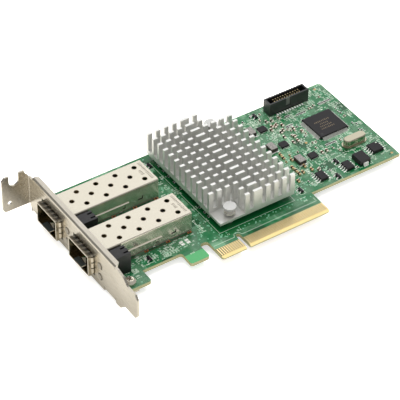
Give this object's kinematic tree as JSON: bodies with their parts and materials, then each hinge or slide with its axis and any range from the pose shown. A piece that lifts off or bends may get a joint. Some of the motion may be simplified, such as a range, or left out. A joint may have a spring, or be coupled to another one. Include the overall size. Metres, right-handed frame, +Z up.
{
  "type": "network interface card",
  "caption": "Low-profile network interface card: bent bracket, port cages with spring collars, pin-fin heat sink on push pins, shrouded header and gold edge contacts.",
  "frame": {"origin": "middle of the key slot, at the finger edge and on the component face of the board", "axes": "+X along the card towards its tail, +Y from the finger edge to the top edge, +Z up from the component face"},
  "size_m": [0.155, 0.0807, 0.0227],
  "materials": {
    "board": "green solder mask on fibreglass, satin",
    "gold": "gold plated copper, satin",
    "bracket_sheet": "nickel plated steel sheet, satin",
    "screw_steel": "nickel plated steel, bright",
    "cage_sheet": "tin plated sheet, satin",
    "spring_sheet": "plated spring sheet, bright",
    "black_moulding": "black moulded plastic",
    "lens": "milky clear plastic",
    "sink_aluminium": "bare extruded aluminium",
    "pad": "soft thermal pad",
    "chip_laminate": "dark green laminate",
    "chip_mould": "black moulding compound",
    "nylon": "white nylon",
    "tinned_lead": "tin plated leads",
    "can_steel": "nickel plated drawn can",
    "ferrite": "grey pressed ferrite",
    "cap_ceramic": "brown sintered ceramic"
  },
  "bodies": {
    "root": {"circuit_board": "board", "contacts_component_side": "gold", "contacts_solder_side": "gold", "bracket": "bracket_sheet", "bracket_screws": "screw_steel", "cage_near": "cage_sheet", "cage_far": "cage_sheet", "collar_near": "spring_sheet", "collar_far": "spring_sheet", "socket_near": "black_moulding", "socket_far": "black_moulding", "light_block_near": "black_moulding", "light_block_far": "black_moulding", "light_lenses_near": "lens", "light_lenses_far": "lens", "heatsink": "sink_aluminium", "thermal_pad": "pad", "controller_base": "chip_laminate", "controller_cap": "chip_mould", "push_pins": "nylon", "push_springs": "screw_steel", "header_shroud": "black_moulding", "header_pins": "gold", "quad_chip_body": "chip_mould", "quad_chip_leads": "tinned_lead", "crystal_base": "can_steel", "crystal_can": "can_steel", "eight_lead_bodies": "chip_mould", "eight_lead_leads": "tinned_lead", "transistor_bodies": "chip_mould", "transistor_leads": "tinned_lead", "block_body": "chip_mould", "block_terminals": "tinned_lead", "power_chips": "chip_mould", "inductor_bodies": "ferrite", "inductor_feet": "tinned_lead", "capacitors": "cap_ceramic"}
  },
  "joints": []
}
